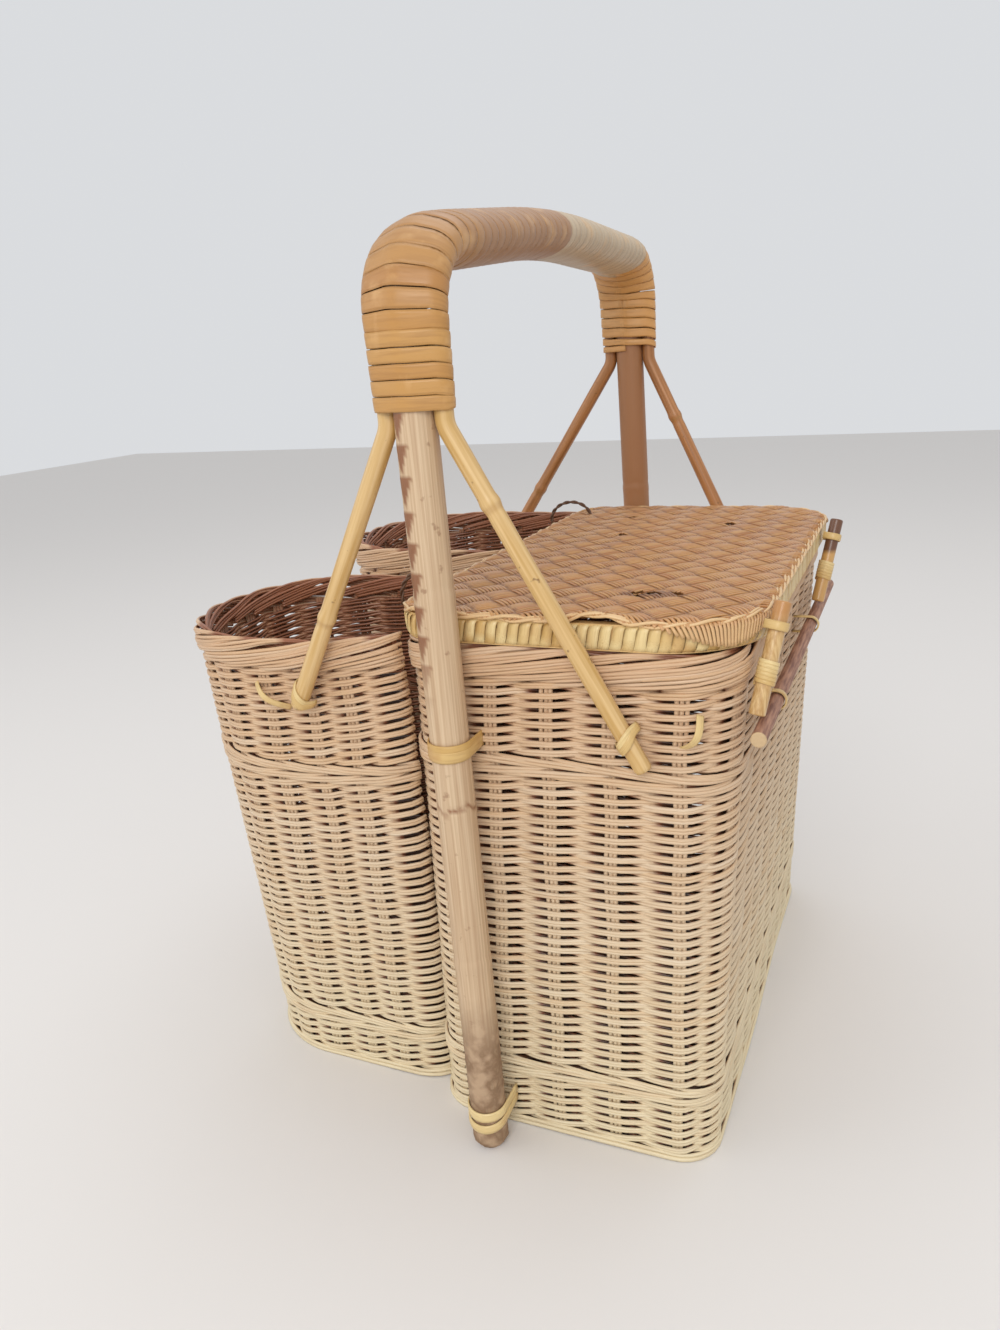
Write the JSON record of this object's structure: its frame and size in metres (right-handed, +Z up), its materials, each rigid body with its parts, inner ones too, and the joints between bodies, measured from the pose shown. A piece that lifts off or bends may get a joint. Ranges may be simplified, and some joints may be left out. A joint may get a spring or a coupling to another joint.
{
  "type": "picnic basket",
  "caption": "Wicker picnic basket with a hinged lid, open bottle pockets on one side and a cane-bound arch handle.",
  "frame": {"origin": "on the table, under the middle of the whole basket's width and length", "axes": "+X from the bottle pockets to the latch side, +Y from the near end to the far end, +Z up"},
  "size_m": [0.3655, 0.386, 0.5051],
  "materials": {
    "woven_reed": "satin round reed, paler towards the foot",
    "lid_reed": "varnished thin reed, warm brown",
    "flat_cane": "glossy split cane",
    "peeled_cane": "smooth peeled cane",
    "cane_pole": "cane pole with node scars",
    "bamboo": "polished bamboo",
    "bark_cane": "dull brown stick",
    "dark_cane": "thin dark cane"
  },
  "bodies": {
    "basket": {"box_wall": "woven_reed", "box_floor": "woven_reed", "box_foot": "woven_reed", "box_low_wale": "woven_reed", "box_high_wale": "woven_reed", "box_border": "woven_reed", "near_pocket_wall": "woven_reed", "near_pocket_floor": "woven_reed", "near_pocket_foot": "woven_reed", "near_pocket_wale": "woven_reed", "near_pocket_border": "woven_reed", "far_pocket_wall": "woven_reed", "far_pocket_floor": "woven_reed", "far_pocket_foot": "woven_reed", "far_pocket_wale": "woven_reed", "far_pocket_border": "woven_reed", "handle_pole": "cane_pole", "left_side_rod": "peeled_cane", "right_side_rod": "peeled_cane", "top_wrap": "flat_cane", "near_leg_wrap": "flat_cane", "far_leg_wrap": "flat_cane", "near_left_strut": "peeled_cane", "near_right_strut": "peeled_cane", "near_left_tie": "flat_cane", "near_right_tie": "flat_cane", "near_mid_band": "flat_cane", "near_low_band": "flat_cane", "near_hinge_ring": "dark_cane", "near_rod_staple": "flat_cane", "far_left_strut": "peeled_cane", "far_right_strut": "peeled_cane", "far_left_tie": "flat_cane", "far_right_tie": "flat_cane", "far_mid_band": "flat_cane", "far_low_band": "flat_cane", "far_hinge_ring": "dark_cane", "far_rod_staple": "flat_cane", "box_staple": "flat_cane", "pocket_staple": "flat_cane"},
    "lid": {"lid_hoop": "peeled_cane", "lid_binding": "flat_cane", "lid_mat": "lid_reed", "near_peg_pin": "flat_cane", "far_peg_pin": "flat_cane"},
    "near_peg": {"near_peg": "bamboo", "near_peg_wrap": "flat_cane"},
    "far_peg": {"far_peg": "bamboo", "far_peg_wrap": "flat_cane"},
    "latch_rod": {"latch_rod": "bark_cane"}
  },
  "joints": [
    {"name": "lid_hinge", "type": "hinge", "parent": "basket", "child": "lid", "pos_m": [-0.0175, 0, 0.3033], "axis": [0, -1, 0], "range_deg": [0, 70]},
    {"name": "near_peg_swing", "type": "hinge", "parent": "lid", "child": "near_peg", "pos_m": [0.17, -0.135, 0.298], "axis": [1, 0, 0], "range_deg": [-20, 20]},
    {"name": "far_peg_swing", "type": "hinge", "parent": "lid", "child": "far_peg", "pos_m": [0.175, 0.085, 0.298], "axis": [1, 0, 0], "range_deg": [-20, 20]},
    {"name": "latch_rod_slide", "type": "slide", "parent": "basket", "child": "latch_rod", "axis": [0, -1, 0], "range_m": [0, 0.15]}
  ]
}
